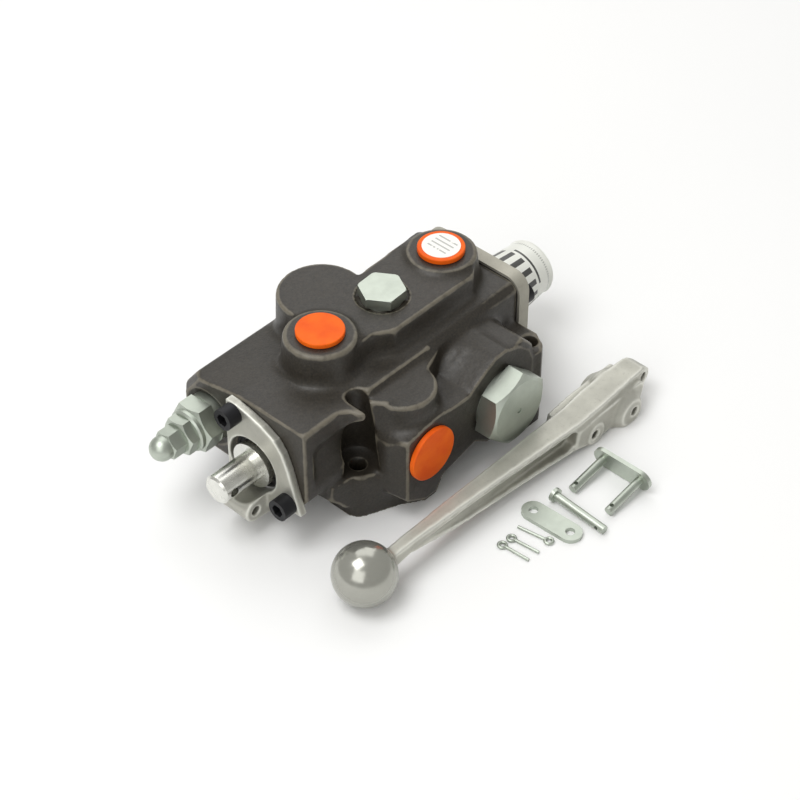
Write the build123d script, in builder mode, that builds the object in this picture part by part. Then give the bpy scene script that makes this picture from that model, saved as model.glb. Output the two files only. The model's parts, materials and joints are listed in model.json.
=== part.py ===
"""Single-spool hydraulic monoblock valve with its loose hand-lever kit.

Frame: X runs along the spool from the lever end (-X) to the spring-cap end (+X), +Y is the
relief-valve side, +Z is up.  The origin lies on the mounting plane, under the spool axis,
midway between the two work ports.  All lengths are millimetres.
"""
import os
from math import atan2, cos, degrees, hypot, radians, sin, sqrt

from build123d import *

# ---------------------------------------------------------------- driving dimensions
INCH = 25.4
SPOOL_Z = 1.5 * INCH            # height of the spool axis over the mounting plane
LEVER_FACE = -91.0              # machined end face on the lever side
CAP_FACE = 68.0                 # machined end face on the spring-cap side
PORT_X = 45.0                   # work ports A (-X) and B (+X)
DECK_Z = 75.0                   # top of the main block
RIDGE_Z = 90.5                  # top of the port ridge
BOSS_Z = 93.5                   # machined faces of the two work-port bosses
FRONT_Y = -59.0                 # machined face round the inlet and outlet ports
WALL_Y = 33.5                   # half width of the main block
INLET_X = -28.0
OUTLET_X = 26.0
RELIEF_Y = 36.0
RELIEF_Z = 45.5
LUG_Z = 50.0                    # top of the corner mounting lug
FOOT_Z = 28.0                   # top of the other two mounting feet
FOOT_R = 12.0
FOOT_POCKET_R = 12.3
REST_PAD_R = 9.0                # underside pad below the spool
SNUG = 0.05                     # radial gap between fixed pieces fitted into each other

# three vertical mounting holes for 5/16 in bolts
MOUNT_HOLE_R = 11 / 32 * INCH / 2
FRONT_FOOT = (-51.5, -31.0)
CORNER_LUG = (61.0, -49.0)
REAR_FOOT = (8.0, 48.0)
MOUNT_HOLES = [FRONT_FOOT, CORNER_LUG, REAR_FOOT]

# spool and its bore
SPOOL_R = 12.7
RUNNING_GAP = 0.02              # radial clearance of a ground spool in its bore
GUIDE_GAP = 0.06                # radial clearance of seals and poppets on what they guide
TANG_R = 5 / 16 * INCH
STEM_R = 8.0
NECK_R = 8.5
GROOVE_R = 16.5
GROOVE_WIDTH = 9.0
GROOVES_X = [-66.0, -PORT_X, INLET_X + 3, 0.0, OUTLET_X - 3, PORT_X]
NECKS_X = [(-61.0, -50.0), (-38.0, -30.0), (-8.0, 8.0), (29.0, 39.0)]
SPOOL_TIP = -121.0
SPOOL_SHOULDER = -96.5
LAND_END = 53.0
STEM_STEP = 95.5
STEM_NOSE_R = 5.0
TANG_HOLE_X = -115.5
SEAL_POCKET_R = 16.0
SEAL_POCKET_DEPTH = 6.0
GLAND_X = 62.5

# ports
WORK_PORT_R = 10.25
WORK_PORT_DEPTH = 20.0
WORK_PASSAGE_R = 8.0
INLET_PORT_R = 12.4
OUTLET_PORT_R = 15.5
SIDE_PORT_DEPTH = 20.0
SIDE_PASSAGE_R = 9.5
PLUG_FLANGE_T = 3.0
PLUG_WALL = 1.2
PLUG_GAP = 0.35
WORK_PLUG_R = 12.6
INLET_PLUG_R = 15.3

# load check, in the middle of the ridge
CHECK_SPOT_R = 14.2
CHECK_SPOT_Z = 89.0
CHECK_BORE_R = 8.5
CHECK_SEAT_Z = 63.0
CHECK_PASSAGE_R = 5.5
CHECK_HEX = 7 / 8 * INCH
CHECK_TOP_Z = 95.8

# outlet plug
OUTLET_HEX = 1.5 * INCH
OUTLET_HEX_TURN = 18.8
OUTLET_HEAD_T = 13.5

# socket head cap screws of the end bracket and the end plate
SCREW_R = 3.9
SCREW_HOLE_R = 4.0
SCREW_CLEAR_R = 4.3
SCREW_HEAD_R = 5.95
SCREW_HEAD_H = 7.9
SCREW_SOCKET = 1 / 4 * INCH
SCREW_GRIP = 18.0
BRACKET_SCREWS = [(11.6, 66.5), (-25.0, 28.0)]      # (Y, Z) on the lever-end face
PLATE_SCREWS = [(y, z) for y in (-26.0, 26.0) for z in (15.0, 56.0)]

# end bracket
BRACKET_T = 4.6
BRACKET_BORE_R = 16.4
PIVOT_X = -103.5
PIVOT_Z = 17.5
PIVOT_R = 2.6
LUG_HALF = 9.5
LUG_R = 6.5

# end plate and spring cap
PLATE_T = 9.0
PLATE_HALF = 35.0
PLATE_TOP = 76.4
PLATE_BOTTOM = 4.0
PLATE_CORNER = 10.0
GASKET_T = 0.5
GASKET_INSET = 1.5
CAP_START = CAP_FACE + PLATE_T
CAP_END = 121.0
CAP_BASE_R = 21.5
CAP_R = 19.0
CAP_TIP_R = 15.8
CAP_WALL = 2.2
CAP_SKIRT_R = 17.2
CAP_SKIRT_T = 5.0

# spool-centring springs and the collar between them
SPRING_WIRE_R = 1.1
SPRING_MEAN_R = 11.4
COLLAR_R = 13.3
COLLAR_T = 3.0

# relief valve cartridge
RELIEF_HEX = 1.0 * INCH
RELIEF_SPOT_R = 16.0
RELIEF_SPOT_T = 3.0
RELIEF_BORE_R = 9.6
RELIEF_BORE_DEPTH = 46.0
RELIEF_GALLERY_X = -38.0
RELIEF_GALLERY_R = 3.5
RELIEF_SEAT_X = LEVER_FACE + RELIEF_SPOT_T
RELIEF_HEX_X = -94.0            # start of the hexagon
RELIEF_COLLAR_X = -104.0        # end of the hexagon
RELIEF_JAM_X = -107.0
RELIEF_CAP_X = -113.0
RELIEF_DOME_X = -121.5
RELIEF_TIP_X = -130.0
ADJUSTER_R = 4.7
DOME_R = 6.7

# hand lever, lying beside the valve on the same surface
BALL = (-97.4, -79.0, 16.8)
BALL_R = 16.8
LEVER_TOP = 22.0
LEVER_FAR_Y = -77.5
SHANK_Y = -82.8                 # middle of the web between the shank's side panels
SHANK_WEB = 4.4
FORK_Y = -81.5                  # middle of the fork slot
FORK_GAP = 17.0
FORK_CHEEK = 22.5               # width over the flat of both cheeks
FORK_WEB_Z = 15.5
LEVER_HOLES = [(65.0, 7.5), (94.0, 7.0)]            # (X, Z) through both fork cheeks
PRONG_HOLE = (111.5, 15.0)
FORK_START = 55.0
FORK_END = 105.0
FORK_EARS = [                   # X, Z, root radius, tip radius and width over both tips
    (92.0, 7.0, 14.6, 8.0, 31.5),
    (66.0, 7.5, 8.0, 6.6, 24.5),
]
PIN_R = 3 / 32 * INCH
PIN_HOLE_R = 2.6
COTTER_HOLE_R = 1.1

# links and pins of the lever kit
LINK_PITCH = 23.8
LINK_T = 2.4
LINK_R = 6.35
LINK_PLATE_AT = (4.5, -114.3)
LINK_PLATE_TURN = 92.0
LINK_PIN_LENGTH = 25.5
LINK_HEEL = (54.0, -119.8)
CLEVIS_AT = (18.6, -103.7)
CLEVIS_TO = (17.5, -138.5)
CLEVIS_HEAD_R = 4.0
CLEVIS_HEAD_T = 2.0
CLEVIS_HEAD_RISE = 0.1          # keeps the rim of the tilted head on the surface
COTTERS = [                     # eye end and tip of each cotter pin
    ((-24.7, -106.1), (-23.6, -122.7)),
    ((-17.9, -106.4), (-16.1, -123.1)),
    ((-6.5, -121.6), (-9.5, -103.5)),
]
COTTER_WIRE_R = 0.85
COTTER_EYE_R = 2.0

os.makedirs("parts", exist_ok=True)


def finish(piece, name):
    """Label one finished piece and write it as its own STEP file."""
    piece.part.label = name
    export_step(piece.part, f"parts/{name}.step")


def along_x(x, y=0.0, z=SPOOL_Z):
    """Sketch plane facing +X: sketch x is +Y, sketch y is +Z."""
    return Plane(origin=(x, y, z), x_dir=(0, 1, 0), z_dir=(1, 0, 0))


def back_x(x, y=0.0, z=SPOOL_Z):
    """Sketch plane facing -X: sketch x is -Y, sketch y is +Z."""
    return Plane(origin=(x, y, z), x_dir=(0, -1, 0), z_dir=(-1, 0, 0))


def along_back(y, x=0.0, z=SPOOL_Z):
    """Sketch plane facing +Y: sketch x is -X, sketch y is +Z."""
    return Plane(origin=(x, y, z), x_dir=(-1, 0, 0), z_dir=(0, 1, 0))


def along_front(y, x=0.0, z=SPOOL_Z):
    """Sketch plane facing -Y: sketch x is +X, sketch y is +Z."""
    return Plane(origin=(x, y, z), x_dir=(1, 0, 0), z_dir=(0, -1, 0))


def level(z, x=0.0, y=0.0):
    """Sketch plane facing +Z."""
    return Plane(origin=(x, y, z), x_dir=(1, 0, 0), z_dir=(0, 0, 1))


def disc(plane, radius, length, mode=Mode.ADD):
    """Round bar or bore that starts on the plane and runs along its normal."""
    with BuildSketch(plane) as outline:
        Circle(radius)
    extrude(outline.sketch, amount=length, mode=mode)


def ring(plane, outer, inner, length):
    """Plain ring that starts on the plane and runs along its normal."""
    disc(plane, outer, length)
    disc(plane, inner, length, Mode.SUBTRACT)


def dome(plane, root_r, tip_r, height):
    """Boss that narrows from its root on the plane to its tip."""
    with BuildSketch(plane) as outline:
        Circle(root_r)
    extrude(outline.sketch, amount=height, taper=degrees(atan2(root_r - tip_r, height)))


def hexagon(plane, flats, length, turn=0.0, mode=Mode.ADD):
    """Hexagonal bar with the given width across flats."""
    with BuildSketch(plane) as outline:
        RegularPolygon(flats / sqrt(3), 6, rotation=turn)
    extrude(outline.sketch, amount=length, mode=mode)


def hex_head(seat, flats, height, turn=0.0, face=0.47):
    """Hexagonal head that starts on the seat plane, its outer corners turned off to a cone."""
    corner_r = flats / sqrt(3)
    face_r = face * flats
    drop = (corner_r - face_r) * 0.6
    with BuildPart() as head:
        hexagon(seat, flats, height, turn)
        with BuildSketch(Plane(origin=seat.origin, x_dir=seat.x_dir, z_dir=-seat.y_dir)) as turned:
            Polygon(
                (0, 0), (corner_r, 0), (corner_r, height - drop), (face_r, height), (0, height),
                align=None,
            )
        revolve(turned.sketch, axis=Axis(seat.origin, seat.z_dir), mode=Mode.INTERSECT)
    return head.part


# ---------------------------------------------------------------- valve body
with BuildPart() as valve_body:
    # main block round the spool bore, with the relief-valve lobe on its rear side
    with BuildSketch(along_x(LEVER_FACE, 0, 0)):
        with BuildLine():
            Polyline((-WALL_Y, 30), (-WALL_Y, DECK_Z), (12, DECK_Z - 1), (48, 66))
            Line((48, 66), (57, 54))
            Line((57, 54), (57, 38))
            Line((57, 38), (48, 25))
            Polyline((48, 25), (16, 16), (-22, 16), (-WALL_Y, 30))
        make_face()
    extrude(amount=92.0)
    with BuildSketch(along_x(0, 0, 0)):
        with BuildLine():
            Polyline(
                (-WALL_Y, 8), (-WALL_Y, DECK_Z - 4), (-WALL_Y + 4, DECK_Z), (WALL_Y - 4, DECK_Z),
                (WALL_Y, DECK_Z - 4), (WALL_Y, 8), (WALL_Y - 6, 4), (-WALL_Y + 6, 4), (-WALL_Y, 8),
            )
        make_face()
    extrude(amount=CAP_FACE)

    # port ridge on top of the block
    with BuildSketch(level(DECK_Z - 6)):
        with BuildLine():
            Polyline(
                (-45, -17.5), (-26, -18), (-16, -24.5), (44, -24.5), (60, -12), (60, 12),
                (52, 23.5), (-45, 19), (-45, -17.5),
            )
        make_face()
    extrude(amount=RIDGE_Z - DECK_Z + 6, taper=2)
    with BuildSketch(level(DECK_Z - 8, -19, 25)):
        Circle(24.0)
    extrude(amount=RIDGE_Z - DECK_Z + 8, taper=2)
    for port_x in (-PORT_X, PORT_X):
        with BuildSketch(level(DECK_Z - 6, port_x)):
            Circle(21.5)
        extrude(amount=BOSS_Z - DECK_Z + 6, taper=6)

    # front chest: machined inlet and outlet faces and the round core boss between them
    with BuildSketch(along_front(-35, 0, 0)):
        with BuildLine():
            Polyline(
                (-48.5, 16), (-48.5, 50), (-44.4, 54.2), (-31.9, 57.1), (-20.7, 58.4), (-9.3, 56.2),
                (2.1, 56), (5.8, 59), (14.1, 64.5), (22.4, 68.6), (30.2, 69), (42, 64), (49, 57.6),
                (52, 50), (52, 14), (26, 12), (16.9, 13.4), (7.2, 20.2), (2.5, 19.2), (-17.6, 14),
                (-22, 5.6), (-31, 5.8), (-48.5, 16),
            )
        make_face()
    extrude(amount=-35 - FRONT_Y)
    with BuildSketch(level(10)):
        with BuildLine():
            Polyline(
                (-49, FRONT_Y - 1), (-44.2, FRONT_Y - 1), (-46, FRONT_Y + 4), (-49, FRONT_Y + 12),
                (-49, FRONT_Y - 1),
            )
        make_face()
    extrude(amount=48, mode=Mode.SUBTRACT)
    disc(along_back(-40, OUTLET_X, SPOOL_Z + 2.4), 28.4, 30)
    disc(level(20, -26.3, -38.3), 18.0, 50)
    with BuildSketch(level(30)):
        with BuildLine():
            Polyline(
                (-50.5, -12), (-50.5, -33), (-43, -43), (-26, -46), (-8, -40), (6, -34), (6, -12),
                (-50.5, -12),
            )
        make_face()
    extrude(amount=41)

    # flat-topped shoulder over the outlet, in front of the ridge
    with BuildSketch(along_back(FRONT_Y + 1, 0, 0)):
        with BuildLine():
            Polyline((-26, 50), (-26, 67), (-45, 66.5), (-53, 58), (-54.5, 50), (-26, 50))
        make_face()
    extrude(amount=30)

    # corner mounting lug
    with BuildSketch(level(0)):
        with BuildLine():
            Polyline(
                (44, -58.5), (60, -58.5), (64.5, -55.5), (CAP_FACE, -48), (CAP_FACE, -20), (44, -20),
                (44, -58.5),
            )
        make_face()
    extrude(amount=LUG_Z)

    # deck tongue that overhangs the front foot
    with BuildSketch(level(DECK_Z)):
        with BuildLine():
            Polyline(
                (-86, -20), (-86, -WALL_Y), (-67, -WALL_Y), (-62.5, -37), (-61, -41.5), (-59, -43.5),
                (-56, -43.5), (-54, -30), (-54, -10), (-86, -20),
            )
        make_face()
    extrude(amount=-25, taper=4)

    # front foot, its web to the block, and the wall that runs on under the inlet
    disc(level(0, *FRONT_FOOT), 10.8, FOOT_Z)
    with BuildSketch(level(0)):
        with BuildLine():
            Polyline(
                (-61.8, -20), (-61.6, -31), (-59.6, -38), (-52, -42.6), (-38.5, -48.2), (-27, -55.5),
                (-18, -55.3), (-9, -50.7), (-9, -20), (-61.8, -20),
            )
        make_face()
    extrude(amount=FOOT_Z)
    with BuildSketch(level(8)):
        with BuildLine():
            Polyline((-76, -10), (-74, -WALL_Y), (-62, -36), (-50, -36), (-50, -10), (-76, -10))
        make_face()
    extrude(amount=FOOT_Z - 8)

    # rear foot and the central rest pad
    disc(level(0, *REAR_FOOT), FOOT_R, FOOT_Z)
    with BuildSketch(level(6)):
        with BuildLine():
            Polyline((-10, 20), (-4, 48), (20, 48), (28, 20), (-10, 20))
        make_face()
    extrude(amount=FOOT_Z - 6)
    disc(level(0), REST_PAD_R, 16)

    # bolt and wrench room over the front foot, and the hollow flank beside it
    with BuildSketch(level(FOOT_Z, *FRONT_FOOT)):
        Circle(FOOT_POCKET_R)
    extrude(amount=DECK_Z - FOOT_Z + 2, taper=8.3, mode=Mode.SUBTRACT)
    with BuildSketch(level(FOOT_Z)):
        with Locations((-54, -56)):
            Rectangle(7, 50)
    extrude(amount=BOSS_Z, mode=Mode.SUBTRACT)
    disc(along_x(-84, -50, 50), 21.0, 30, Mode.SUBTRACT)

    # underside rising toward the lever end, and the turned-off corner of the relief lobe
    with BuildSketch(along_back(-70, 0, 0)):
        with BuildLine():
            Polyline(
                (92, -1), (92, 26), (84, 24), (78.5, 20.8), (72, 16), (67.8, 11.8), (63.5, 5),
                (62.4, -1), (92, -1),
            )
        make_face()
    extrude(amount=140, mode=Mode.SUBTRACT)
    lobe_edges = edges().filter_by_position(Axis.X, LEVER_FACE - 0.1, LEVER_FACE + 0.1)
    chamfer(lobe_edges.filter_by_position(Axis.Y, 47, 58), 4.5)

    # ---- machined features
    disc(along_x(LEVER_FACE), SPOOL_R + RUNNING_GAP, CAP_FACE - LEVER_FACE, Mode.SUBTRACT)
    for groove_x in GROOVES_X:
        disc(along_x(groove_x - GROOVE_WIDTH / 2), GROOVE_R, GROOVE_WIDTH, Mode.SUBTRACT)
    disc(along_x(LEVER_FACE), SEAL_POCKET_R, SEAL_POCKET_DEPTH, Mode.SUBTRACT)
    for port_x in (-PORT_X, PORT_X):
        disc(level(BOSS_Z - WORK_PORT_DEPTH, port_x), WORK_PORT_R, WORK_PORT_DEPTH, Mode.SUBTRACT)
        disc(level(SPOOL_Z, port_x), WORK_PASSAGE_R, BOSS_Z - SPOOL_Z, Mode.SUBTRACT)
    disc(level(CHECK_SPOT_Z), CHECK_SPOT_R, BOSS_Z, Mode.SUBTRACT)
    disc(level(CHECK_SEAT_Z), CHECK_BORE_R, BOSS_Z, Mode.SUBTRACT)
    disc(level(SPOOL_Z), CHECK_PASSAGE_R, BOSS_Z, Mode.SUBTRACT)
    for port_x, port_r in ((INLET_X, INLET_PORT_R), (OUTLET_X, OUTLET_PORT_R)):
        disc(along_back(FRONT_Y, port_x), port_r, SIDE_PORT_DEPTH, Mode.SUBTRACT)
        disc(along_back(FRONT_Y, port_x), SIDE_PASSAGE_R, -FRONT_Y, Mode.SUBTRACT)
    disc(along_x(LEVER_FACE, RELIEF_Y, RELIEF_Z), RELIEF_SPOT_R, RELIEF_SPOT_T, Mode.SUBTRACT)
    disc(along_x(LEVER_FACE, RELIEF_Y, RELIEF_Z), RELIEF_BORE_R, RELIEF_BORE_DEPTH, Mode.SUBTRACT)
    disc(along_x(RELIEF_SEAT_X, RELIEF_Y, RELIEF_Z), RELIEF_GALLERY_R,
         RELIEF_GALLERY_X - RELIEF_SEAT_X, Mode.SUBTRACT)
    disc(along_back(0, RELIEF_GALLERY_X, RELIEF_Z), RELIEF_GALLERY_R, RELIEF_Y, Mode.SUBTRACT)
    for hole_x, hole_y in MOUNT_HOLES:
        disc(level(0, hole_x, hole_y), MOUNT_HOLE_R, LUG_Z, Mode.SUBTRACT)
    for screw_y, screw_z in BRACKET_SCREWS:
        disc(along_x(LEVER_FACE, screw_y, screw_z), SCREW_HOLE_R, SCREW_GRIP, Mode.SUBTRACT)
    for screw_y, screw_z in PLATE_SCREWS:
        disc(back_x(CAP_FACE, screw_y, screw_z), SCREW_HOLE_R, SCREW_GRIP, Mode.SUBTRACT)
finish(valve_body, "valve_body")


# ---------------------------------------------------------------- lever-end hardware
with BuildPart() as end_bracket:
    with BuildSketch(along_x(LEVER_FACE - BRACKET_T, 0, 0)):
        with BuildLine():
            Polyline(
                (-33.5, 23.5), (-29.5, 35), (-25.5, 49), (-21.5, 58.5), (-16.5, 64.5), (-8, 68.5),
                (2, 71.2), (10, 72.5), (17.2, 72.5), (18, 62), (18, 29), (14, 22), (9.5, 15),
                (-9.5, 15), (-15, 20.5), (-20, 22), (-33.5, 23.5),
            )
        make_face()
    extrude(amount=BRACKET_T)
    # pivot lug that carries the connecting link
    with BuildSketch(along_front(LUG_HALF, 0, 0)):
        with BuildLine():
            Polyline(
                (LEVER_FACE, 10.5), (LEVER_FACE, 26), (-97, 25.5), (PIVOT_X, PIVOT_Z + LUG_R),
                (PIVOT_X, PIVOT_Z - LUG_R), (-97, 10.5), (LEVER_FACE, 10.5),
            )
        make_face()
    extrude(amount=2 * LUG_HALF)
    disc(along_front(LUG_HALF, PIVOT_X, PIVOT_Z), LUG_R, 2 * LUG_HALF)
    disc(along_front(LUG_HALF, PIVOT_X, PIVOT_Z), PIVOT_R, 2 * LUG_HALF, Mode.SUBTRACT)
    disc(back_x(LEVER_FACE), BRACKET_BORE_R, -LEVER_FACE, Mode.SUBTRACT)
    for screw_y, screw_z in BRACKET_SCREWS:
        disc(back_x(LEVER_FACE, screw_y, screw_z), SCREW_CLEAR_R, -LEVER_FACE, Mode.SUBTRACT)
finish(end_bracket, "end_bracket")


def cap_screw(seat, depth):
    """Socket head cap screw: seat is the plane under its head, facing away from the thread."""
    disc(seat, SCREW_HEAD_R, SCREW_HEAD_H)
    disc(seat, SCREW_R, -depth)
    hexagon(seat.offset(SCREW_HEAD_H), SCREW_SOCKET, -SCREW_HEAD_H / 2, mode=Mode.SUBTRACT)


with BuildPart() as bracket_screws:
    for screw_y, screw_z in BRACKET_SCREWS:
        cap_screw(back_x(LEVER_FACE - BRACKET_T, screw_y, screw_z), BRACKET_T + SCREW_GRIP - 1)
finish(bracket_screws, "bracket_screws")

with BuildPart() as spool_wiper:
    ring(along_x(LEVER_FACE + 0.2), SEAL_POCKET_R - SNUG, SPOOL_R + GUIDE_GAP, 2.4)
    disc(along_x(LEVER_FACE + 0.2), 14.4, 0.8, Mode.SUBTRACT)
finish(spool_wiper, "spool_wiper")

with BuildPart() as spool_seal:
    ring(along_x(LEVER_FACE + 2.7), SEAL_POCKET_R - SNUG, SPOOL_R + GUIDE_GAP, 3.2)
    fillet(edges(), 0.9)
finish(spool_seal, "spool_seal")

with BuildPart() as spool_gland:
    ring(along_x(GLAND_X), SPOOL_R - SNUG, STEM_R + GUIDE_GAP, CAP_FACE - GLAND_X)
    ring_groove = GLAND_X + 1.5
    with BuildSketch(along_x(ring_groove)):
        Circle(SPOOL_R)
        Circle(SPOOL_R - 1.6, mode=Mode.SUBTRACT)
    extrude(amount=2.4, mode=Mode.SUBTRACT)
finish(spool_gland, "spool_gland")

with BuildPart() as gland_seal:
    ring(along_x(GLAND_X + 1.6), SPOOL_R - SNUG, SPOOL_R - 1.55, 2.2)
finish(gland_seal, "gland_seal")

# ---------------------------------------------------------------- spool
with BuildPart() as spool:
    disc(along_x(SPOOL_TIP), TANG_R, SPOOL_SHOULDER - SPOOL_TIP)
    chamfer(edges().filter_by(GeomType.CIRCLE).group_by(Axis.X)[0], 1.0)
    disc(along_x(SPOOL_SHOULDER), SPOOL_R, LAND_END - SPOOL_SHOULDER)
    chamfer(edges().filter_by(GeomType.CIRCLE).group_by(Axis.X)[-1], 0.8)
    disc(along_x(LAND_END), STEM_R, STEM_STEP - LAND_END)
    disc(along_x(STEM_STEP), STEM_NOSE_R, COLLAR_T)
    for neck_start, neck_end in NECKS_X:
        with BuildSketch(along_x(neck_start)):
            Circle(SPOOL_R + 1)
            Circle(NECK_R, mode=Mode.SUBTRACT)
        extrude(amount=neck_end - neck_start, mode=Mode.SUBTRACT)
    disc(along_back(-TANG_R - 1, TANG_HOLE_X), PIN_HOLE_R, 2 * TANG_R + 2, Mode.SUBTRACT)
    disc(back_x(STEM_STEP + COLLAR_T), 3.0 + SNUG, 16.0, Mode.SUBTRACT)
finish(spool, "spool")

with BuildPart() as spring_collar:
    ring(along_x(STEM_STEP), COLLAR_R, STEM_NOSE_R + SNUG, COLLAR_T)
    chamfer(edges().filter_by(GeomType.CIRCLE), 0.4)
finish(spring_collar, "spring_collar")

with BuildPart() as collar_screw:
    screw_seat = along_x(STEM_STEP + COLLAR_T)
    disc(screw_seat, 6.5, 4.5)
    disc(screw_seat, 3.0, -15.0)
    hexagon(screw_seat.offset(4.5), 5.0, -3.0, mode=Mode.SUBTRACT)
finish(collar_screw, "collar_screw")


def coil(start, length, mean_r, wire_r, turns):
    """Helical compression spring that starts on the plane and runs along its normal."""
    height = length - 2 * wire_r
    with BuildPart() as wound:
        with BuildLine() as centre_line:
            Helix(pitch=height / turns, height=height, radius=mean_r)
        with BuildSketch(Plane(origin=centre_line.line @ 0, z_dir=centre_line.line % 0)):
            Circle(wire_r)
        sweep(path=centre_line.line)
    with BuildPart() as spring:
        add(start.offset(wire_r).location * wound.part)
    return spring


# ---------------------------------------------------------------- cap-end hardware
def plate_outline(inset=0.0):
    """Rounded square shared by the end plate and its gasket."""
    with Locations((0, (PLATE_TOP + PLATE_BOTTOM) / 2)):
        RectangleRounded(
            2 * (PLATE_HALF - inset), PLATE_TOP - PLATE_BOTTOM - 2 * inset, PLATE_CORNER - inset,
        )


with BuildPart() as plate_gasket:
    with BuildSketch(along_x(CAP_FACE, 0, 0)):
        plate_outline(GASKET_INSET)
    extrude(amount=GASKET_T)
    disc(along_x(CAP_FACE), STEM_R + 1.5, GASKET_T, Mode.SUBTRACT)
    for screw_y, screw_z in PLATE_SCREWS:
        disc(along_x(CAP_FACE, screw_y, screw_z), SCREW_CLEAR_R, GASKET_T, Mode.SUBTRACT)
finish(plate_gasket, "plate_gasket")

with BuildPart() as end_plate:
    with BuildSketch(along_x(CAP_FACE + GASKET_T, 0, 0)):
        plate_outline()
    extrude(amount=PLATE_T - GASKET_T)
    chamfer(faces().sort_by(Axis.X)[-1].edges(), 0.8)
    disc(along_x(CAP_FACE), STEM_R + GUIDE_GAP, PLATE_T, Mode.SUBTRACT)
    disc(along_x(CAP_START - CAP_SKIRT_T), CAP_SKIRT_R + SNUG, CAP_SKIRT_T, Mode.SUBTRACT)
    for screw_y, screw_z in PLATE_SCREWS:
        disc(along_x(CAP_FACE, screw_y, screw_z), SCREW_CLEAR_R, PLATE_T, Mode.SUBTRACT)
finish(end_plate, "end_plate")

with BuildPart() as plate_screws:
    for screw_y, screw_z in PLATE_SCREWS:
        cap_screw(along_x(CAP_START, screw_y, screw_z), PLATE_T + SCREW_GRIP - 1)
finish(plate_screws, "plate_screws")

with BuildPart() as spring_cap:
    with BuildSketch(Plane(origin=(0, 0, SPOOL_Z), x_dir=(1, 0, 0), z_dir=(0, -1, 0))):
        with BuildLine():
            Polyline(
                (CAP_START - CAP_SKIRT_T, CAP_SKIRT_R - CAP_WALL), (CAP_START - CAP_SKIRT_T, CAP_SKIRT_R),
                (CAP_START, CAP_SKIRT_R), (CAP_START, CAP_BASE_R), (CAP_START + 4, CAP_R + 1.2),
                (CAP_START + 14, CAP_R - 0.6), (CAP_END - 3, CAP_TIP_R), (CAP_END - 1.6, CAP_TIP_R + 0.6),
                (CAP_END, CAP_TIP_R), (CAP_END, 0), (CAP_END - CAP_WALL, 0),
                (CAP_END - CAP_WALL, CAP_TIP_R - CAP_WALL), (CAP_START + 14, CAP_SKIRT_R - CAP_WALL),
                (CAP_START - CAP_SKIRT_T, CAP_SKIRT_R - CAP_WALL),
            )
        make_face()
    revolve(axis=Axis((0, 0, SPOOL_Z), (1, 0, 0)))
    disc(along_x(CAP_END - 0.8), CAP_TIP_R - 3.0, 0.8, Mode.SUBTRACT)
finish(spring_cap, "spring_cap")

inner_spring = coil(
    along_x(CAP_START - CAP_SKIRT_T), STEM_STEP - CAP_START + CAP_SKIRT_T, SPRING_MEAN_R, SPRING_WIRE_R, 5,
)
finish(inner_spring, "inner_centring_spring")
outer_spring = coil(
    along_x(STEM_STEP + COLLAR_T), CAP_END - CAP_WALL - STEM_STEP - COLLAR_T, SPRING_MEAN_R, SPRING_WIRE_R, 5,
)
finish(outer_spring, "outer_centring_spring")

# ---------------------------------------------------------------- ports
def port_plug(mouth, flange_r, bore_r, depth):
    """Push-in protective plug: the mouth plane faces out of the port."""
    with BuildPart() as plug:
        disc(mouth, flange_r, PLUG_FLANGE_T)
        fillet(edges().filter_by(GeomType.CIRCLE), 0.6)
        disc(mouth, bore_r - PLUG_GAP, -depth)
        disc(mouth.offset(-0.8), bore_r - PLUG_GAP - PLUG_WALL, -depth, Mode.SUBTRACT)
    return plug


work_port_a_plug = port_plug(level(BOSS_Z, -PORT_X), WORK_PLUG_R, WORK_PORT_R, 9.0)
finish(work_port_a_plug, "work_port_a_plug")
work_port_b_plug = port_plug(level(BOSS_Z, PORT_X), WORK_PLUG_R, WORK_PORT_R, 9.0)
finish(work_port_b_plug, "work_port_b_plug")
inlet_port_plug = port_plug(along_front(FRONT_Y, INLET_X), INLET_PLUG_R, INLET_PORT_R, 10.0)
finish(inlet_port_plug, "inlet_port_plug")

with BuildPart() as port_b_label:
    disc(level(BOSS_Z + PLUG_FLANGE_T, PORT_X), 10.2, 0.2)
finish(port_b_label, "port_b_label")

with BuildPart() as outlet_plug:
    outlet_face = along_front(FRONT_Y, OUTLET_X)
    disc(outlet_face, OUTLET_HEX / 2 - 0.4, 1.5)
    add(hex_head(outlet_face.offset(1.5), OUTLET_HEX, OUTLET_HEAD_T - 1.5, OUTLET_HEX_TURN))
    disc(outlet_face, OUTLET_PORT_R - SNUG, -16.0)
    disc(outlet_face.offset(-5), OUTLET_PORT_R - 5, -11.0, Mode.SUBTRACT)
    disc(outlet_face.offset(OUTLET_HEAD_T - 0.8), 1.5, 0.8, Mode.SUBTRACT)
finish(outlet_plug, "outlet_plug")

# ---------------------------------------------------------------- load check
with BuildPart() as load_check_plug:
    check_top = level(CHECK_SPOT_Z)
    disc(check_top, CHECK_HEX / 2, 1.0)
    add(hex_head(check_top.offset(1.0), CHECK_HEX, CHECK_TOP_Z - CHECK_SPOT_Z - 1.0, 3.4, 0.55))
    disc(check_top, CHECK_BORE_R - SNUG, -9.0)
    disc(check_top.offset(-5.0), 6.3, -4.0, Mode.SUBTRACT)
    disc(check_top.offset(-2.5), CHECK_BORE_R, -2.2, Mode.SUBTRACT)
    disc(check_top.offset(-2.5), CHECK_BORE_R - 1.6, -2.2)
finish(load_check_plug, "load_check_plug")

with BuildPart() as load_check_seal:
    ring(level(CHECK_SPOT_Z - 4.6), CHECK_BORE_R - SNUG, CHECK_BORE_R - 1.55, 2.0)
finish(load_check_seal, "load_check_seal")

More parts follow.
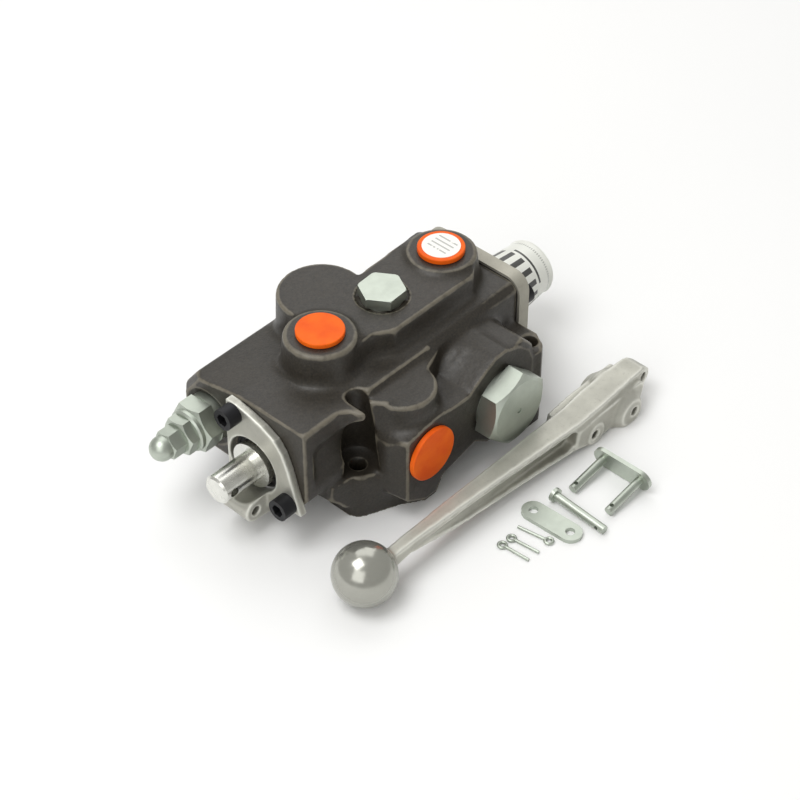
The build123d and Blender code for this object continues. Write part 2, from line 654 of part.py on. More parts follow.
with BuildPart() as load_check_poppet:
    poppet_seat = level(CHECK_SEAT_Z)
    disc(poppet_seat, CHECK_BORE_R - GUIDE_GAP, 5.0)
    disc(poppet_seat.offset(5.0), 6.0, 7.0)
    disc(poppet_seat.offset(2.0), 4.6, 11.0, Mode.SUBTRACT)
    disc(poppet_seat, CHECK_PASSAGE_R - 0.4, -3.0)
finish(load_check_poppet, "load_check_poppet")

load_check_spring = coil(
    level(CHECK_SEAT_Z + 2.0), CHECK_SPOT_Z - 5.0 - CHECK_SEAT_Z - 2.0, 3.6, 0.5, 7,
)
finish(load_check_spring, "load_check_spring")

# ---------------------------------------------------------------- relief valve
with BuildPart() as relief_body:
    relief_seat = back_x(RELIEF_SEAT_X, RELIEF_Y, RELIEF_Z)
    disc(relief_seat, RELIEF_HEX / 2 + 0.8, RELIEF_SEAT_X - RELIEF_HEX_X)
    add(hex_head(back_x(RELIEF_HEX_X, RELIEF_Y, RELIEF_Z), RELIEF_HEX, RELIEF_HEX_X - RELIEF_COLLAR_X, 6.7))
    disc(back_x(RELIEF_COLLAR_X, RELIEF_Y, RELIEF_Z), RELIEF_HEX / 2 - 0.9, RELIEF_COLLAR_X - RELIEF_JAM_X)
    chamfer(edges().filter_by(GeomType.CIRCLE).sort_by(Axis.X)[0], 1.0)
    disc(relief_seat, RELIEF_BORE_R - SNUG, -38.0)
    disc(relief_seat.offset(-38.0), 6.4, 34.0 + RELIEF_SEAT_X - RELIEF_COLLAR_X, Mode.SUBTRACT)
    disc(relief_seat.offset(-38.0), ADJUSTER_R + SNUG, 60.0, Mode.SUBTRACT)
    disc(relief_seat.offset(-12.0), RELIEF_BORE_R, -2.4, Mode.SUBTRACT)
    disc(relief_seat.offset(-12.0), RELIEF_BORE_R - 1.6, -2.4)
    disc(relief_seat.offset(-12.0), 6.4, -2.4, Mode.SUBTRACT)
finish(relief_body, "relief_body")

with BuildPart() as relief_seal:
    ring(relief_seat.offset(-14.3), RELIEF_BORE_R - SNUG, RELIEF_BORE_R - 1.55, 2.2)
finish(relief_seal, "relief_seal")

with BuildPart() as relief_seat_ring:
    ring(relief_seat.offset(-41.5), RELIEF_BORE_R - SNUG, 3.0, 3.4)
finish(relief_seat_ring, "relief_seat_ring")

with BuildPart() as relief_poppet:
    disc(relief_seat.offset(-38.0), 6.4 - GUIDE_GAP, 5.0)
    disc(relief_seat.offset(-33.0), 3.6, 4.0)
finish(relief_poppet, "relief_poppet")

with BuildPart() as relief_adjuster:
    adjuster_foot = back_x(-97.0, RELIEF_Y, RELIEF_Z)
    disc(adjuster_foot, 6.3, 2.5)
    disc(adjuster_foot, ADJUSTER_R, 19.5)
    disc(adjuster_foot, 3.6, -2.5)
    hexagon(adjuster_foot.offset(19.5), 4.0, -3.5, mode=Mode.SUBTRACT)
finish(relief_adjuster, "relief_adjuster")

relief_spring = coil(relief_seat.offset(-33.0), 33.0 + 9.0, 5.0, 0.8, 8)
finish(relief_spring, "relief_spring")

with BuildPart() as relief_jam_nut:
    jam_face = back_x(RELIEF_JAM_X, RELIEF_Y, RELIEF_Z)
    add(hex_head(jam_face, 3 / 4 * INCH, RELIEF_JAM_X - RELIEF_CAP_X, 10.0))
    disc(jam_face, ADJUSTER_R + SNUG, RELIEF_JAM_X - RELIEF_CAP_X, Mode.SUBTRACT)
finish(relief_jam_nut, "relief_jam_nut")

with BuildPart() as relief_cap_nut:
    cap_face = back_x(RELIEF_CAP_X, RELIEF_Y, RELIEF_Z)
    dome_start = RELIEF_CAP_X - RELIEF_DOME_X
    dome_length = RELIEF_DOME_X - RELIEF_TIP_X
    add(hex_head(cap_face, 9 / 16 * INCH, dome_start, 12.0))
    disc(cap_face.offset(dome_start), DOME_R, dome_length - DOME_R)
    with Locations(cap_face.offset(dome_start + dome_length - DOME_R)):
        Sphere(DOME_R)
    disc(cap_face, ADJUSTER_R + 0.35, 11.0, Mode.SUBTRACT)
finish(relief_cap_nut, "relief_cap_nut")

# ---------------------------------------------------------------- hand lever
with BuildPart() as hand_lever:
    # tapering shank, cut to its side view and its plan view
    with BuildSketch(along_front(-60, 0, 0)):
        with BuildLine():
            Polyline(
                (-84, 12), (-84, 21), (-66, LEVER_TOP), (102, LEVER_TOP), (112, 21.5), (117, 17.5),
                (117.5, 13.5), (113.5, 9.5), (106, 9), (100, 4), (78, 2), (58, 3.5), (25, 5.5),
                (0, 6.5), (-40, 9), (-70, 14.5), (-84, 12),
            )
        make_face()
    extrude(amount=45)
    with BuildSketch(level(-1)):
        with BuildLine():
            Polyline(
                (-88, LEVER_FAR_Y), (-60, LEVER_FAR_Y), (56, LEVER_FAR_Y + 1), (72, -75), (104, -74.5),
                (117.5, -75.5), (117.5, -88), (104, -89.5), (72, -91.5), (54, -92), (0, -88.5),
                (-60, -85.5), (-88, -84.5), (-88, LEVER_FAR_Y),
            )
        make_face()
    extrude(amount=30, mode=Mode.INTERSECT)
    # long hollow panels in both sides of the shank
    for panel_side in (1, -1):
        with BuildSketch(along_front(SHANK_Y - panel_side * SHANK_WEB / 2, 0, 0)):
            with BuildLine():
                Polyline(
                    (-70, 17), (-30, 18.2), (48, 18.6), (52, 16.8), (53.5, 12.5), (51, 8.5), (46, 6.4),
                    (25, 8), (0, 9), (-30, 10.8), (-70, 17),
                )
            make_face()
        extrude(amount=panel_side * BALL_R, mode=Mode.SUBTRACT)
    # cheeks of the fork with their domes, and the slot for the spool tang between them
    with BuildSketch(along_front(FORK_Y, 0, 0)):
        with BuildLine():
            Polyline(
                (50, 6), (52, 17), (70, 19), (104, 19), (107.5, 16), (106, 9), (100, 4), (92, 0), (80, 1.5),
                (66, 0.6), (58, 2.6), (50, 6),
            )
        make_face()
    extrude(amount=FORK_CHEEK / 2, both=True)
    for ear_x, ear_z, root_r, tip_r, ear_width in FORK_EARS:
        ear_root = FORK_GAP / 2
        for ear_side in (along_front(FORK_Y, ear_x, ear_z), along_back(FORK_Y, ear_x, ear_z)):
            disc(ear_side, root_r, ear_root)
            dome(ear_side.offset(ear_root), root_r, tip_r, ear_width / 2 - ear_root)
    with BuildSketch(level(0, 0, FORK_Y)):
        Rectangle(2 * (PRONG_HOLE[0] + BALL_R), 4 * BALL_R)
    extrude(amount=-BALL_R, mode=Mode.SUBTRACT)
    with BuildSketch(along_x(FORK_START, FORK_Y, 0)):
        with Locations((0, FORK_WEB_Z / 2 - 2)):
            RectangleRounded(FORK_GAP, FORK_WEB_Z + 4, 4)
    extrude(amount=FORK_END - FORK_START, mode=Mode.SUBTRACT)
    for hole_x, hole_z in LEVER_HOLES + [PRONG_HOLE]:
        disc(along_front(-50, hole_x, hole_z), PIN_HOLE_R, 65, Mode.SUBTRACT)
    # ball knob
    with Locations(Plane(origin=BALL, z_dir=(-1, 0, 0))):
        Sphere(BALL_R)
finish(hand_lever, "hand_lever")

# ---------------------------------------------------------------- links and pins
with BuildPart() as link_plate:
    with BuildSketch(level(0, *LINK_PLATE_AT)):
        SlotCenterToCenter(LINK_PITCH, 2 * LINK_R, rotation=LINK_PLATE_TURN)
        with PolarLocations(LINK_PITCH / 2, 2, start_angle=LINK_PLATE_TURN):
            Circle(PIN_HOLE_R, mode=Mode.SUBTRACT)
    extrude(amount=LINK_T)
finish(link_plate, "link_plate")

with BuildPart() as connecting_link:
    # the heel edge of the plate and the two pin tips touch the surface
    link_tilt = degrees(atan2(LINK_R - PIN_R, LINK_PIN_LENGTH))
    link_face = Plane(
        origin=(LINK_HEEL[0], LINK_HEEL[1], LINK_R + 0.35),
        x_dir=(0, 1, 0),
        z_dir=(-cos(radians(link_tilt)), 0, -sin(radians(link_tilt))),
    )
    with BuildSketch(link_face):
        SlotCenterToCenter(LINK_PITCH, 2 * LINK_R)
    extrude(amount=-LINK_T)
    for side in (-1, 1):
        with BuildSketch(link_face):
            with Locations((side * LINK_PITCH / 2, 0)):
                Circle(PIN_R)
        extrude(amount=LINK_PIN_LENGTH)
        with BuildSketch(link_face.offset(-LINK_T)):
            with Locations((side * LINK_PITCH / 2, 0)):
                Circle(PIN_R + 0.8)
        extrude(amount=-0.9)
    for side in (-1, 1):
        with BuildSketch(Plane(origin=link_face.origin, x_dir=link_face.x_dir, z_dir=link_face.y_dir)):
            with Locations((side * LINK_PITCH / 2, -(LINK_PIN_LENGTH - 3.0))):
                Circle(COTTER_HOLE_R)
        extrude(amount=LINK_R, both=True, mode=Mode.SUBTRACT)
finish(connecting_link, "connecting_link")


def lying(start, end, start_z, end_z):
    """Plane at the start point, facing the end point, with sketch y upward."""
    run = Vector(end[0] - start[0], end[1] - start[1], end_z - start_z)
    return Plane(origin=(*start, start_z), x_dir=Vector(-run.Y, run.X, 0), z_dir=run)


with BuildPart() as clevis_pin:
    pin_axis = lying(CLEVIS_AT, CLEVIS_TO, CLEVIS_HEAD_R + CLEVIS_HEAD_RISE, PIN_R)
    pin_length = hypot(CLEVIS_TO[0] - CLEVIS_AT[0], CLEVIS_TO[1] - CLEVIS_AT[1])
    disc(pin_axis, CLEVIS_HEAD_R, CLEVIS_HEAD_T)
    disc(pin_axis, PIN_R, pin_length)
    disc(Plane(origin=(pin_axis.offset(pin_length - 4.0)).origin, z_dir=pin_axis.x_dir).offset(-PIN_R - 1),
         COTTER_HOLE_R, 2 * PIN_R + 2, Mode.SUBTRACT)
finish(clevis_pin, "clevis_pin")


def cotter(eye, tip):
    """Cotter pin lying flat: a round eye and one closed leg pair."""
    with BuildPart() as pin:
        axis = lying(eye, tip, COTTER_WIRE_R, COTTER_WIRE_R)
        length = hypot(tip[0] - eye[0], tip[1] - eye[1])
        with Locations((eye[0], eye[1], COTTER_WIRE_R)):
            Torus(COTTER_EYE_R, COTTER_WIRE_R)
        disc(axis.offset(COTTER_EYE_R), COTTER_WIRE_R, length - COTTER_EYE_R)
    return pin


for number, (eye_end, tip_end) in enumerate(COTTERS, start=1):
    finish(cotter(eye_end, tip_end), f"cotter_pin_{number}")
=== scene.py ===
import json
import math

import bmesh
import bpy
import numpy as np
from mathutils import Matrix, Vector


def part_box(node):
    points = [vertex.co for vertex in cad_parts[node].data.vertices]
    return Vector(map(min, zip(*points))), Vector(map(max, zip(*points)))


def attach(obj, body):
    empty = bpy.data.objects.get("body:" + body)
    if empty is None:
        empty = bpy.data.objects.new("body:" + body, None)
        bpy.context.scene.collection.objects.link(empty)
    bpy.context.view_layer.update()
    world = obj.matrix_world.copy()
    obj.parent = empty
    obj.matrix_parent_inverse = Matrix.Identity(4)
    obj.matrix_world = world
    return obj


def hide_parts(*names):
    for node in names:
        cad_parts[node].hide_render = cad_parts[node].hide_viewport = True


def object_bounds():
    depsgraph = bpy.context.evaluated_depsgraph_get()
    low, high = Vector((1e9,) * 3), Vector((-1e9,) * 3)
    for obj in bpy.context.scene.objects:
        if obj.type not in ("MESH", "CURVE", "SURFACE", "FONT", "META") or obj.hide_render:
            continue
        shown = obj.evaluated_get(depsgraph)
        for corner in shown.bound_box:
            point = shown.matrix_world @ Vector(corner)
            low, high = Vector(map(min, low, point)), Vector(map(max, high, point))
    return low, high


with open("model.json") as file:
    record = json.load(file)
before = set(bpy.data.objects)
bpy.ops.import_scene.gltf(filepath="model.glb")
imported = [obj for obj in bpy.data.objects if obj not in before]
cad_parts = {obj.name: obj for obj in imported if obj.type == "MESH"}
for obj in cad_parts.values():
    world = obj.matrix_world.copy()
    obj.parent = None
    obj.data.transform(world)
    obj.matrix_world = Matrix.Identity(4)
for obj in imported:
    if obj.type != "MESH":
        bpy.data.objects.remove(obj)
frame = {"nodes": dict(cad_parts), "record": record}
cad_low, cad_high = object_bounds()
NODES = frame["nodes"]
SLOT_OF = {s["node"]: s["material_slot"] for s in frame["record"]["subparts"]}
BODY_OF = {n: b for b, members in frame["record"]["behaviour"]["bodies"].items() for n in members}

MM = 0.001
PORT_RIM = 1.0 * MM             # machined land round each port
LAND_FADE = 1.5 * MM            # width over which that land runs out into cast skin
MACHINED_RIM = 0.3 * MM         # depth of a machined face that the casting pass leaves alone
END_FADE = 1.2 * MM             # width over which an end face runs out into cast skin
FOOT_FADE = 1.0 * MM            # the same for the feet
PORT_FACE_FADE = 0.8 * MM       # the same for the front port face
TOP_PLUGS = ("work_port_a_plug", "work_port_b_plug", "load_check_plug")

SMOOTH_SHARE = 0.5              # part of the way to its neighbours' mean in a smoothing round
FILL_SHARE = 0.9                # the same in a round that fills inner corners, outward only
FILL_NORMALS_EVERY = 6          # fill rounds between two updates of the normals
SETTLE_ROUNDS = 2               # last light smoothing, after the fill
SETTLE_SHARE = 0.4
SETTLE_LEAST = 0.15             # share of that smoothing that machined faces get too
RIDGE_GAIN = 14                 # ridge value for a bend of one voxel
RIDGE_ROUNDS = 2                # blur of the ridge map
RIDGE_LIFT = 1.5                # contrast given back after the blur

BORE_GAP = 0.4 * MM             # visible running gap round the spool
BORE_INNER = 0.9                # share of the spool radius from which skin belongs to the bore
BALL_R = 16.8 * MM              # lever ball
BALL_BAND = 0.9 * MM            # skin this close to the ball's surface is moved onto it
BALL_NECK = 0.75                # share of the radius, toward the handle, where the ball ends
BALL_TRUE = 0.999               # keeps the trued ball just inside the CAD ball
EDGE_BREAK = 0.25 * MM          # softened edge of turned and stamped pieces
EDGE_ANGLE = 35                 # degrees; flatter edges stay as they are

FLOOR_HALF = 6.0
FLOOR_GAP = 0.05 * MM           # the floor lies this far below the feet
CAMERA_AIM = Vector((-56.8, -65.1, 96.65)) * MM
CAMERA_AZIMUTH, CAMERA_ELEVATION, CAMERA_DISTANCE = -47.2, 42.5, 1.05


# ---------------------------------------------------------------- material helpers
def srgb(r, g, b):
    """Linear colour of an 8-bit sRGB colour."""
    def one(c):
        c /= 255
        return c / 12.92 if c <= 0.04045 else ((c + 0.055) / 1.055) ** 2.4
    return (one(r), one(g), one(b), 1.0)


def grey(level):
    return (level, level, level, 1.0)


class Mat:
    """Small builder for procedural node materials in object space."""

    def __init__(self, name):
        self.material = bpy.data.materials.new(name)
        self.material.use_nodes = True
        self.tree = self.material.node_tree
        self.shader = self.tree.nodes["Principled BSDF"]
        self.place = self.node("ShaderNodeTexCoord").outputs["Object"]

    def node(self, kind, **props):
        n = self.tree.nodes.new(kind)
        for k, v in props.items():
            setattr(n, k, v)
        return n

    def link(self, a, b):
        self.tree.links.new(a, b)

    def put(self, socket, value):
        """Link a node's output to a socket, or set a plain value on it."""
        if hasattr(value, "is_output"):
            self.link(value, socket)
        else:
            socket.default_value = value

    def stretched(self, scale):
        n = self.node("ShaderNodeMapping")
        n.inputs["Scale"].default_value = scale
        self.link(self.place, n.inputs["Vector"])
        return n.outputs["Vector"]

    def noise(self, scale, detail=3.0, rough=0.55, stretch=None):
        """Noise with the given number of cells in a metre."""
        n = self.node("ShaderNodeTexNoise")
        n.inputs["Scale"].default_value = scale
        n.inputs["Detail"].default_value = detail
        n.inputs["Roughness"].default_value = rough
        self.link(self.stretched(stretch) if stretch else self.place, n.inputs["Vector"])
        return n.outputs["Fac"]

    def varied(self, base, spread, scale, detail=2):
        """A value that noise raises above its base by up to the spread."""
        return self.math("ADD", self.product(self.noise(scale, detail), spread), base)

    def ramp(self, fac, low, high):
        """0 below low, rising to 1 above high."""
        n = self.node("ShaderNodeValToRGB")
        n.color_ramp.elements[0].position = low
        n.color_ramp.elements[1].position = high
        self.link(fac, n.inputs["Fac"])
        return n.outputs["Color"]

    def math(self, op, a, b=0.0):
        n = self.node("ShaderNodeMath", operation=op)
        self.put(n.inputs[0], a)
        self.put(n.inputs[1], b)
        return n.outputs[0]

    def product(self, a, b):
        return self.math("MULTIPLY", a, b)

    def mix(self, fac, a, b):
        """Colour a where fac is 0, colour b where it is 1."""
        n = self.node("ShaderNodeMix", data_type="RGBA")
        self.put(n.inputs["Factor"], fac)
        self.put(n.inputs[6], a)
        self.put(n.inputs[7], b)
        return n.outputs[2]

    def axis(self, letter):
        n = self.node("ShaderNodeSeparateXYZ")
        self.link(self.place, n.inputs[0])
        return n.outputs[letter]

    def attribute(self, name):
        """A map stored on the mesh; 0 on pieces that have none."""
        n = self.node("ShaderNodeAttribute", attribute_name=name)
        return n.outputs["Fac"]

    def bump(self, height, strength, distance, below=None):
        """Relief from a height, laid over the relief below it."""
        n = self.node("ShaderNodeBump")
        n.inputs["Strength"].default_value = strength
        n.inputs["Distance"].default_value = distance
        self.link(height, n.inputs["Height"])
        if below is not None:
            self.link(below, n.inputs["Normal"])
        return n.outputs["Normal"]

    def done(self, color, rough, metallic=0.0, normal=None, **constants):
        """Wire up the shader and give the material; constants name further shader inputs."""
        s = self.shader.inputs
        self.put(s["Base Color"], color)
        self.put(s["Roughness"], rough)
        s["Metallic"].default_value = metallic
        if normal is not None:
            self.link(normal, s["Normal"])
        for k, v in constants.items():
            s[k.replace("_", " ")].default_value = v
        return self.material


def cast_paint():
    """Dark brown-grey sand casting: grain, faint blotches and brightened ridges, partly worn paint
    and partly painted highlight.
    """
    m = Mat("cast_body")
    blotch = m.ramp(m.noise(scale=28, detail=4, rough=0.6), low=0.35, high=0.7)
    grain = m.noise(scale=900, detail=3, rough=0.6)
    color = m.mix(blotch, srgb(29, 26, 21), srgb(40, 36, 29))
    color = m.mix(m.ramp(grain, low=0.35, high=0.8), color, srgb(56, 50, 41))
    patchy = m.math("ADD", m.noise(scale=220), 0.5)
    # convex ridges lightened toward pale grey: partly paint worn off the edges, partly painted
    # highlight
    worn_edge_and_highlight = m.ramp(m.product(m.attribute("ridge"), patchy), low=0.5, high=1.0)
    color = m.mix(m.product(worn_edge_and_highlight, 0.5), color, srgb(138, 131, 115))
    coarse = m.bump(m.noise(scale=240, detail=4, rough=0.6), strength=0.35, distance=0.0005)
    fine = m.bump(grain, strength=0.45, distance=0.00018, below=coarse)
    rough = m.varied(base=0.34, spread=0.2, scale=320)
    return m.done(color, rough, 0.0, fine, Specular_IOR_Level=0.5)


def cast_alloy(name, dark, light, rough_base=0.36, metallic=0.7):
    """Tumbled aluminium casting with soft pits, ridges lightened partly by polish and partly as
    painted highlight, and a fully polished zone.
    """
    m = Mat(name)
    polish = m.attribute("polish")
    tone = m.ramp(m.noise(scale=45, detail=5, rough=0.6), low=0.32, high=0.72)
    color = m.mix(tone, dark, light)
    # convex ridges lightened nearly to white: partly polished edges, partly painted highlight
    color = m.mix(m.product(m.attribute("ridge"), 0.75), color, srgb(228, 228, 220))
    smooth = m.ramp(m.noise(scale=700, detail=3, rough=0.65), low=0.24, high=0.42)
    pits = m.math("SUBTRACT", 1.0, smooth)
    color = m.mix(m.product(pits, 0.3), color, srgb(104, 103, 97))
    color = m.mix(polish, color, srgb(168, 168, 160))
    unpolished = m.product(m.math("SUBTRACT", 1.0, polish), smooth)
    waves = m.bump(m.noise(scale=160, detail=4), strength=0.12, distance=0.0004)
    normal = m.bump(unpolished, strength=0.3, distance=0.0002, below=waves)
    rough = m.varied(rough_base, spread=0.2, scale=260, detail=3)
    rough = m.math("SUBTRACT", rough, m.product(polish, 0.26))
    return m.done(color, rough, metallic, normal)


def plated(name, base, rough_base, streak=(1, 1, 1), metallic=1.0, marks_depth=0.12):
    """Plated or turned steel: slight tone shifts and very fine machining marks."""
    m = Mat(name)
    tone = m.ramp(m.noise(scale=70, detail=4, rough=0.6), low=0.3, high=0.75)
    darker = tuple(c * 0.8 for c in base[:3]) + (1.0,)
    color = m.mix(tone, darker, base)
    marks = m.noise(scale=1500, detail=2, rough=0.5, stretch=streak)
    normal = m.bump(marks, strength=marks_depth, distance=0.00008)
    rough = m.varied(rough_base, spread=0.12, scale=300, detail=3)
    return m.done(color, rough, metallic, normal)


def plain_plastic(m, color, rough_base, peel=0.1, peel_depth=0.0001, **constants):
    """Finish shared by plastic, rubber and paper: fine orange-peel and slightly uneven gloss."""
    normal = m.bump(m.noise(scale=1400, detail=2), strength=peel, distance=peel_depth)
    return m.done(color, m.varied(rough_base, spread=0.1, scale=500), 0.0, normal, **constants)


def moulded(name, base, shade, rough_base, **constants):
    """Moulded plastic or rubber with a little tone variation."""
    m = Mat(name)
    color = m.mix(m.ramp(m.noise(scale=90), low=0.3, high=0.7), base, shade)
    return plain_plastic(m, color, rough_base, peel=0.12, **constants)


def stripe(m, value, pitch, share):
    """1 on evenly spaced stripes that take up the given share of the pitch."""
    return m.math("LESS_THAN", m.math("FRACT", m.math("DIVIDE", value, pitch)), share)


def between(m, value, low, high):
    """1 where the value lies between low and high."""
    return m.product(m.math("GREATER_THAN", value, low), m.math("LESS_THAN", value, high))


def printed_label(node):
    """White paper disc with a few short grey printed dashes that spell nothing."""
    m = Mat("paper_label")
    low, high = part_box(node)
    mid, radius = (low + high) / 2, (high.x - low.x) / 2
    across = m.math("SUBTRACT", m.axis("X"), mid.x)
    along = m.math("SUBTRACT", m.axis("Y"), mid.y)
    lines = stripe(m, m.math("ADD", across, radius), pitch=0.3 * radius, share=0.34)
    breaks = m.noise(scale=420, detail=2, rough=0.5, stretch=(0.35, 1, 1))
    dashes = m.product(lines, m.math("GREATER_THAN", breaks, 0.4))
    inside = m.product(between(m, across, -0.6 * radius, 0.6 * radius),
                       between(m, along, -0.62 * radius, 0.62 * radius))
    ink = m.product(m.product(dashes, inside), 0.55)
    color = m.mix(ink, srgb(238, 238, 232), srgb(96, 96, 100))
    return plain_plastic(m, color, rough_base=0.5, peel_depth=0.00005)


def printed_cap(node):
    """Glossy white plastic cap with a plain black block pattern round it and a fine end ring."""
    m = Mat("white_plastic")
    low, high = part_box(node)
    mid = (low + high) / 2
    height = m.math("SUBTRACT", m.axis("Z"), mid.z)
    depth = m.math("SUBTRACT", m.axis("Y"), mid.y)
    print_start = 7.0               # radians; every angle stays above zero
    angle = m.math("ADD", m.math("ARCTAN2", height, depth), print_start)
    along = m.math("DIVIDE", m.math("SUBTRACT", m.axis("X"), low.x), high.x - low.x)
    blocks = m.product(stripe(m, angle, pitch=0.42, share=0.45), between(m, along, 0.46, 0.70))
    bar = m.product(stripe(m, angle, pitch=2.1, share=0.72), between(m, along, 0.74, 0.77))
    ring = m.product(stripe(m, angle, pitch=0.09, share=0.5), between(m, along, 0.90, 0.93))
    ink = m.math("MAXIMUM", m.math("MAXIMUM", blocks, bar), m.product(ring, 0.5))
    tone = m.ramp(m.noise(scale=90), low=0.3, high=0.7)
    white = m.mix(tone, srgb(232, 233, 226), srgb(224, 225, 218))
    color = m.mix(m.product(ink, 0.93), white, srgb(22, 22, 24))
    return plain_plastic(m, color, rough_base=0.26, peel_depth=0.00008)


MATERIALS = {
    "cast_body": cast_paint(),
    "cast_aluminium": cast_alloy("cast_aluminium", srgb(166, 165, 156), srgb(186, 185, 175)),
    "cast_plate": cast_alloy("cast_plate", srgb(156, 153, 142), srgb(178, 175, 163),
                             rough_base=0.46, metallic=0.5),
    "zinc_plate": plated("zinc_plate", srgb(196, 203, 192), rough_base=0.36),
    "machined_steel": plated("machined_steel", srgb(190, 190, 188), rough_base=0.28,
                             streak=(1, 40, 40)),
    "polished_steel": plated("polished_steel", srgb(234, 234, 228), rough_base=0.2,
                             streak=(30, 1, 1), marks_depth=0.02),
    "spring_steel": plated("spring_steel", srgb(140, 141, 143), rough_base=0.34),
    "black_oxide": plated("black_oxide", srgb(38, 38, 41), rough_base=0.38, metallic=0.6),
    "rubber": moulded("rubber", srgb(24, 24, 24), srgb(34, 34, 34), rough_base=0.6),
    "gasket": moulded("gasket", srgb(40, 38, 36), srgb(56, 54, 50), rough_base=0.7),
    "orange_plastic": moulded("orange_plastic", srgb(240, 104, 8), srgb(228, 86, 4),
                              rough_base=0.5, Specular_IOR_Level=0.25),
    "white_plastic": printed_cap("spring_cap"),
    "paper_label": printed_label("port_b_label"),
}
for node, obj in NODES.items():
    obj.data.materials.clear()
    obj.data.materials.append(MATERIALS[SLOT_OF[node]])


# ---------------------------------------------------------------- castings
def arrays(mesh):
    """Vertex positions and the two ends of each edge."""
    co = np.empty(len(mesh.vertices) * 3, np.float32)
    mesh.vertices.foreach_get("co", co)
    edges = np.empty(len(mesh.edges) * 2, np.int32)
    mesh.edges.foreach_get("vertices", edges)
    return co.reshape(-1, 3).astype(float), edges.reshape(-1, 2)


def normals(mesh):
    """Outward direction at each vertex."""
    n = np.empty(len(mesh.vertices) * 3, np.float32)
    mesh.vertex_normals.foreach_get("vector", n)
    return n.reshape(-1, 3).astype(float)


def store(mesh, co):
    """Write new vertex positions."""
    mesh.vertices.foreach_set("co", co.astype(np.float32).ravel())
    mesh.update()


def neighbour_mean(values, edges, counts):
    """Mean over each vertex's neighbours."""
    total = np.empty_like(values)
    for k in range(values.shape[1]):
        total[:, k] = (np.bincount(edges[:, 0], values[edges[:, 1], k], len(values))
                       + np.bincount(edges[:, 1], values[edges[:, 0], k], len(values)))
    return total / counts[:, None]


def save_map(mesh, name, values):
    """Store one value for each vertex, for the materials to read."""
    layer = mesh.attributes.new(name, "FLOAT", "POINT")
    layer.data.foreach_set("value", values.astype(np.float32))


def casting(node, voxel, rounds, fill_rounds, cast_share):
    """A cast copy of a CAD node: rounded edges, filled inner corners and a ridge map.
    cast_share(points) gives 0 where the surface is machined and 1 where it is cast."""
    mesh = NODES[node].data.copy()
    mesh.name = "cast_" + node
    piece = bpy.data.objects.new("cast_" + node, mesh)
    bpy.context.scene.collection.objects.link(piece)
    remesh = piece.modifiers.new("remesh", "REMESH")
    remesh.mode = "VOXEL"
    remesh.voxel_size = voxel
    remesh.adaptivity = 0.0
    graph = bpy.context.evaluated_depsgraph_get()
    solid = bpy.data.meshes.new_from_object(piece.evaluated_get(graph), depsgraph=graph)
    piece.modifiers.clear()
    piece.data = solid
    co, edges = arrays(solid)
    counts = np.maximum(np.bincount(edges.ravel(), minlength=len(co)), 1).astype(float)
    weight = cast_share(co)[:, None]
    for _ in range(rounds):
        co = co + SMOOTH_SHARE * weight * (neighbour_mean(co, edges, counts) - co)
    for step in range(fill_rounds):
        if step % FILL_NORMALS_EVERY == 0:
            store(solid, co)
            n = normals(solid)
        pull = neighbour_mean(co, edges, counts) - co
        out = np.maximum((pull * n).sum(1), 0)[:, None]
        co = co + FILL_SHARE * weight * out * n
    settle = SETTLE_SHARE * np.maximum(weight, SETTLE_LEAST)
    for _ in range(SETTLE_ROUNDS):
        co = co + settle * (neighbour_mean(co, edges, counts) - co)
    store(solid, co)
    n = normals(solid)
    bend = -((neighbour_mean(co, edges, counts) - co) * n).sum(1) / voxel
    ridge = np.clip(bend * RIDGE_GAIN, 0, 1)[:, None]
    for _ in range(RIDGE_ROUNDS):
        ridge = 0.5 * ridge + 0.5 * neighbour_mean(ridge, edges, counts)
    save_map(solid, "ridge", np.clip(ridge[:, 0] * RIDGE_LIFT, 0, 1))
    for poly in solid.polygons:
        poly.use_smooth = True
    solid.materials.clear()
    solid.materials.append(MATERIALS[SLOT_OF[node]])
    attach(piece, BODY_OF[node])
    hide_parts(node)
    return piece


def fade(distance, start, width):
    """0 up to start, rising to 1 over width."""
    t = np.clip((distance - start) / width, 0, 1)
    return t * t * (3 - 2 * t)


body_low, body_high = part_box("valve_body")


def outside_fitting(co, node, first, second):
    """0 on the machined land round a fitted piece whose section lies in the two given axes."""
    low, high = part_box(node)
    mid = (low + high) / 2
    radius = max(high[first] - low[first], high[second] - low[second]) / 2
    off = np.hypot(co[:, first] - mid[first], co[:, second] - mid[second])
    along = 3 - first - second
    near = (co[:, along] > low[along] - PORT_RIM) & (co[:, along] < high[along] + PORT_RIM)
    return np.where(near, fade(off, radius + PORT_RIM, LAND_FADE), 1.0)


def body_share(co):
    """Cast skin of the valve body, clear of its machined end faces, port face, feet and ports."""
    return np.minimum.reduce([
        fade(co[:, 0] - body_low.x, MACHINED_RIM, END_FADE),
        fade(body_high.x - co[:, 0], MACHINED_RIM, END_FADE),
        fade(co[:, 2], MACHINED_RIM, FOOT_FADE),
        fade(co[:, 1] - body_low.y, MACHINED_RIM, PORT_FACE_FADE),
        outside_fitting(co, "inlet_port_plug", 0, 2),
        *(outside_fitting(co, plug, 0, 1) for plug in TOP_PLUGS),
    ])


def all_cast(co):
    """Cast skin everywhere."""
    return np.ones(len(co))


body = casting("valve_body", 0.8 * MM, rounds=10, fill_rounds=50, cast_share=body_share)
casting("end_bracket", 0.5 * MM, rounds=4, fill_rounds=8, cast_share=all_cast)
lever = casting("hand_lever", 0.6 * MM, rounds=5, fill_rounds=8, cast_share=all_cast)

